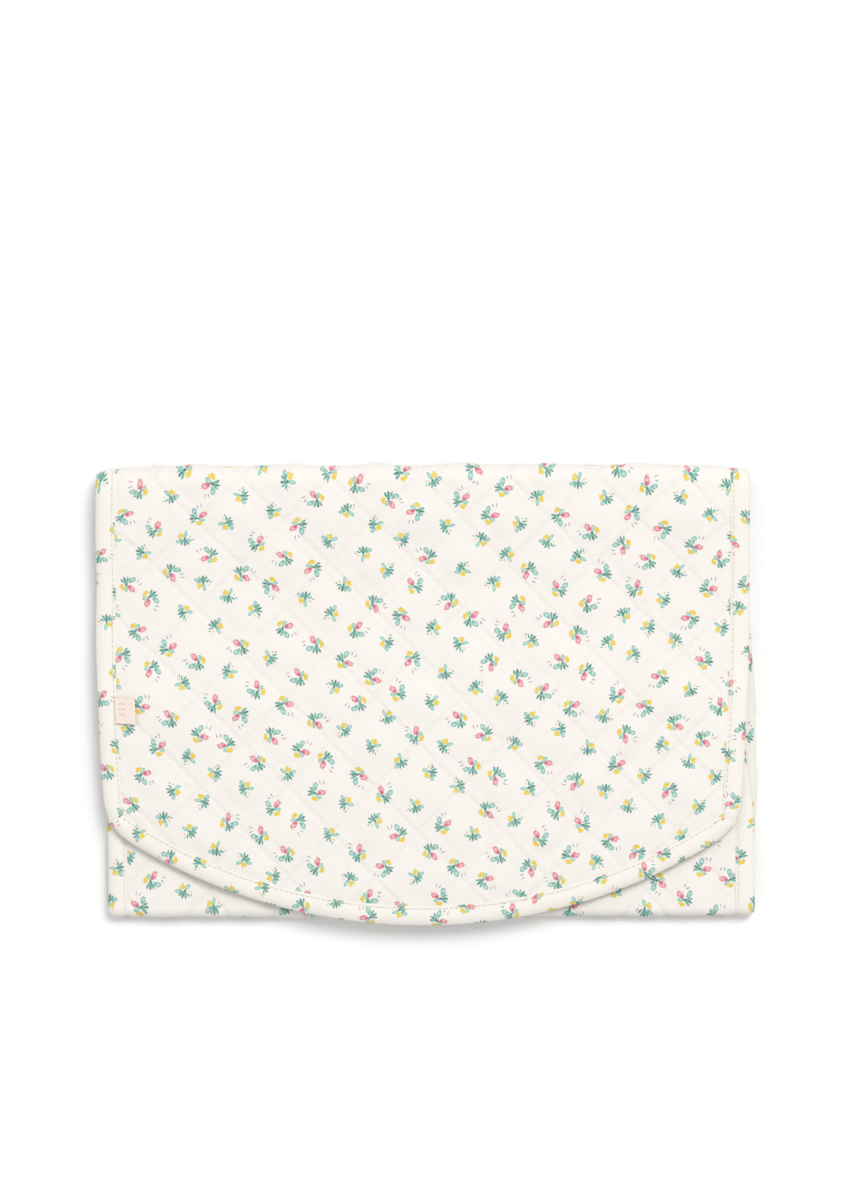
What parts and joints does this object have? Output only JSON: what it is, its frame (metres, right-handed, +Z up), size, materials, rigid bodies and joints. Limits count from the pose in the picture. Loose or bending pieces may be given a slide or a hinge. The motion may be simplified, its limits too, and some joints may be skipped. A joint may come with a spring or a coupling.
{
  "type": "changing pad",
  "caption": "Quilted cotton changing pad folded flat in three, with bound edges, a flap with a curved free edge and a small side label; it opens out flat.",
  "frame": {"origin": "middle of the box round the folded pad, at its underside, where it rests on a surface", "axes": "+X across the width, towards the edge without the label; +Y towards the fold that the flap turns on; +Z up"},
  "size_m": [0.415, 0.29, 0.0235],
  "materials": {
    "printed_cotton": "ivory cotton with a small floral print, lightly quilted",
    "printed_binding": "strips of the same printed cotton, folded over the edges",
    "batting": "soft white wadding",
    "plain_lining": "plain ivory cotton",
    "label_cloth": "woven peach tape",
    "hook_tape": "off-white hook tape",
    "loop_tape": "off-white loop tape"
  },
  "bodies": {
    "middle_panel": {"middle_cover": "printed_cotton", "middle_batting": "batting", "middle_lining": "plain_lining", "middle_left_binding": "printed_binding", "middle_right_binding": "printed_binding"},
    "back_fold": {"back_fold_cover": "printed_cotton", "back_fold_batting": "batting", "back_fold_lining": "plain_lining", "back_fold_left_binding": "printed_binding", "back_fold_right_binding": "printed_binding"},
    "flap": {"flap_cover": "printed_cotton", "flap_batting": "batting", "flap_lining": "plain_lining", "flap_left_binding": "printed_binding", "flap_right_binding": "printed_binding", "flap_curved_binding": "printed_binding", "side_label": "label_cloth", "hook_patch": "hook_tape"},
    "front_fold": {"front_fold_cover": "printed_cotton", "front_fold_batting": "batting", "front_fold_lining": "plain_lining", "front_fold_left_binding": "printed_binding", "front_fold_right_binding": "printed_binding"},
    "lower_panel": {"lower_cover": "printed_cotton", "lower_batting": "batting", "lower_lining": "plain_lining", "lower_left_binding": "printed_binding", "lower_right_binding": "printed_binding", "lower_end_binding": "printed_binding", "loop_patch": "loop_tape"}
  },
  "joints": [
    {"name": "back_fold_lower_bend", "type": "hinge", "parent": "middle_panel", "child": "back_fold", "pos_m": [0, 0.14002, 0.00498], "axis": [-1, 0, 0], "range_deg": [0, 90], "deforming": ["back_fold_cover", "back_fold_batting", "back_fold_lining", "back_fold_left_binding", "back_fold_right_binding"]},
    {"name": "back_fold_upper_bend", "type": "hinge", "parent": "back_fold", "child": "flap", "pos_m": [0, 0.14002, 0.01762], "axis": [-1, 0, 0], "range_deg": [0, 90]},
    {"name": "front_fold_lower_bend", "type": "hinge", "parent": "middle_panel", "child": "front_fold", "pos_m": [0, -0.136, 0.004], "axis": [1, 0, 0], "range_deg": [0, 90], "deforming": ["front_fold_cover", "front_fold_batting", "front_fold_lining", "front_fold_left_binding", "front_fold_right_binding"]},
    {"name": "front_fold_upper_bend", "type": "hinge", "parent": "front_fold", "child": "lower_panel", "pos_m": [0, -0.136, 0.0095], "axis": [1, 0, 0], "range_deg": [0, 90]}
  ],
  "couplings": [
    {"joint": "back_fold_upper_bend", "follows": "back_fold_lower_bend", "ratio": 1},
    {"joint": "front_fold_lower_bend", "follows": "back_fold_lower_bend", "ratio": 1},
    {"joint": "front_fold_upper_bend", "follows": "back_fold_lower_bend", "ratio": 1}
  ]
}
